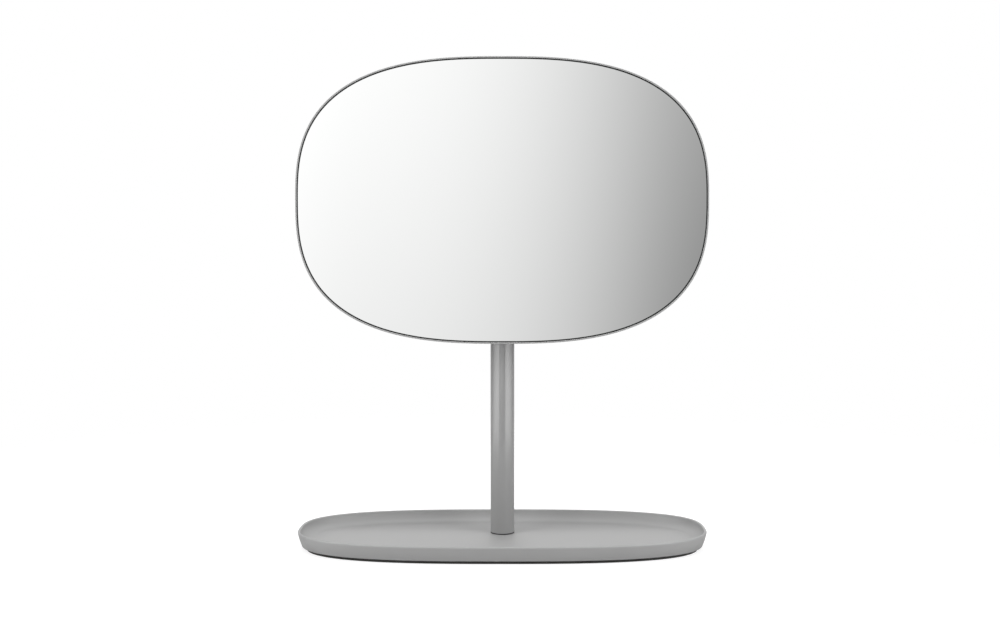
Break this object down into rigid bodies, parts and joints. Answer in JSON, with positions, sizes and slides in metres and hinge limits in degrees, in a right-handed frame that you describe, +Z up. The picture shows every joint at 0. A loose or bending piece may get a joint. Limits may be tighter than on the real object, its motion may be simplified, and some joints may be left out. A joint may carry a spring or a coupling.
{
  "type": "table mirror",
  "caption": "Free-standing table mirror with a wide soft-cornered glass that tilts on a slim round stem, which turns on a low oblong tray foot.",
  "frame": {"origin": "on the table, under the middle of the tray", "axes": "+X to the right of someone who looks into the glass, +Y away from them, +Z up"},
  "size_m": [0.2854, 0.1164, 0.3405],
  "materials": {
    "grey_paint": "matt powder coat",
    "bracket_paint": "matt powder coat",
    "mirror": "polished",
    "film": "matt",
    "foam_tape": "matt",
    "pad_rubber": "matt",
    "black_plastic": "matt",
    "plain_steel": "turned",
    "dark_steel": "black oxide"
  },
  "bodies": {
    "foot": {"tray": "grey_paint", "base_pad": "pad_rubber", "ballast_plate": "plain_steel", "ballast_tape": "foam_tape", "foot_bushing": "black_plastic", "thrust_washer": "plain_steel", "foot_spring": "dark_steel"},
    "stem": {"stem_tube": "grey_paint", "foot_plug": "plain_steel", "stem_bolt": "dark_steel", "stem_head": "plain_steel", "head_pin": "dark_steel"},
    "mirror_head": {"mirror_glass": "mirror", "safety_film": "film", "mounting_tape": "foam_tape", "back_shell": "grey_paint", "stiffener_plate": "plain_steel", "clinch_nuts": "plain_steel", "hinge_bracket": "bracket_paint", "bracket_screws": "plain_steel", "pivot_bolt": "plain_steel", "friction_washers": "black_plastic", "pivot_spring": "dark_steel", "pivot_nut": "plain_steel"}
  },
  "joints": [
    {"name": "stem_swivel", "type": "hinge", "parent": "foot", "child": "stem", "pos_m": [0, 0.018, 0.0054], "axis": [0, 0, 1], "continuous": true},
    {"name": "mirror_tilt", "type": "hinge", "parent": "stem", "child": "mirror_head", "pos_m": [0, 0.018, 0.2415], "axis": [-1, 0, 0], "range_deg": [-6, 45]}
  ]
}
